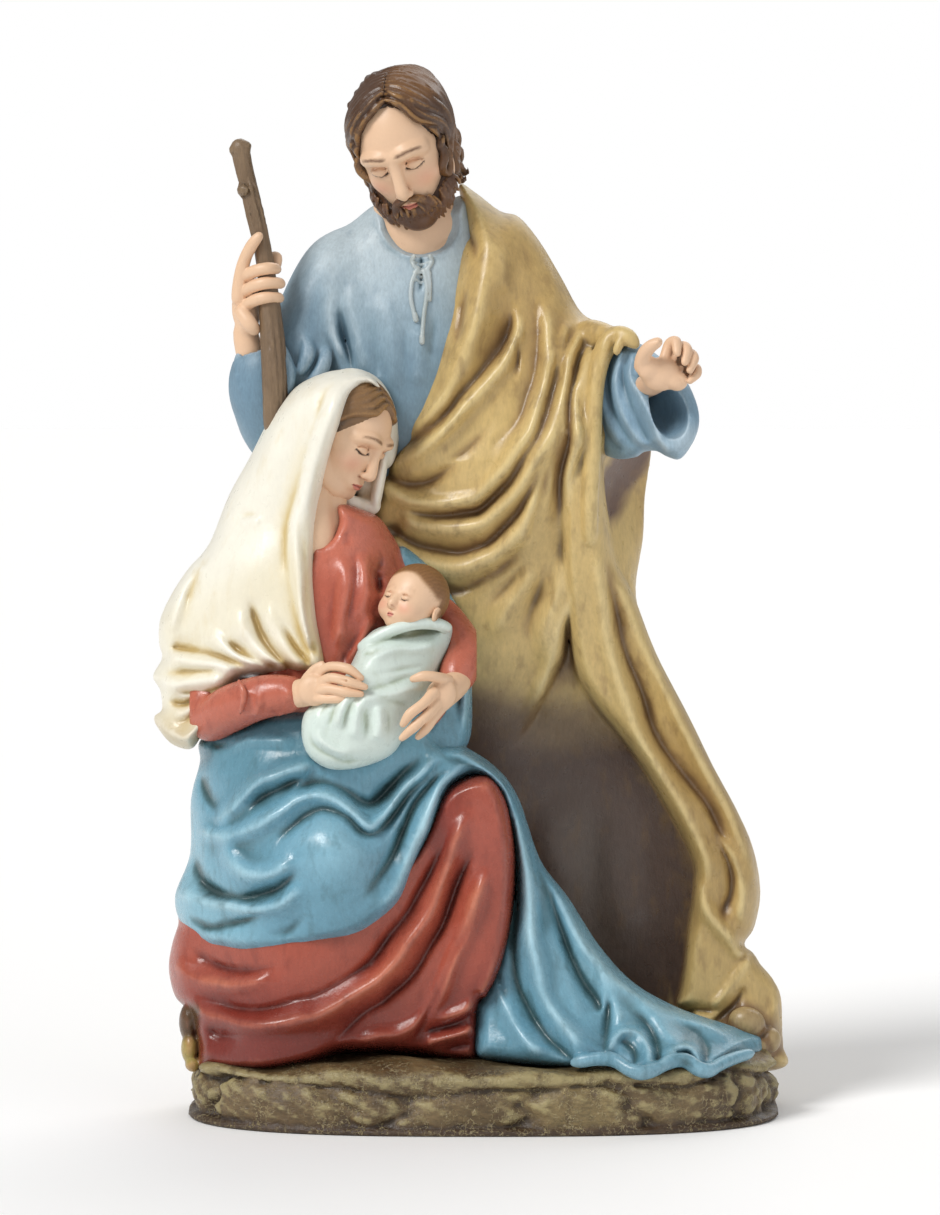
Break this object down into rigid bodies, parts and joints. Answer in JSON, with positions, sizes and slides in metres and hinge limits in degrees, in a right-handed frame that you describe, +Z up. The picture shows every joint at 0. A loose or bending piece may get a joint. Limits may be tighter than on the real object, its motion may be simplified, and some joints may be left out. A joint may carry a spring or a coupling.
{
  "type": "religious statue",
  "caption": "Painted cast resin devotional group: a bearded standing figure with staff and mantle behind a seated veiled mother holding a swaddled infant, on a low rock base.",
  "frame": {"origin": "centre of the flat underside of the rock base", "axes": "+Z up through the figures, +Y towards the back, +X to the viewer's right seen from the front"},
  "size_m": [0.191, 0.0948, 0.3115],
  "materials": {
    "painted_resin": "hand-painted cast resin with a dark wash in the folds and a satin coat",
    "ochre_paint": "ochre paint with a brown wash, satin",
    "pale_blue_paint": "grey-blue paint, darker low down, satin",
    "bright_blue_paint": "sky blue paint with a dark wash, satin",
    "red_paint": "terracotta red paint, satin",
    "ivory_paint": "ivory paint with an ochre wash, satin",
    "mint_paint": "pale mint paint with olive creases, satin",
    "skin_paint": "flesh paint with a soft blush, satin",
    "hair_paint": "brown paint with lighter streaks, satin",
    "rock_paint": "olive and brown paint over textured rock, satin"
  },
  "bodies": {
    "root": {"statue_group": "painted_resin"}
  },
  "joints": []
}
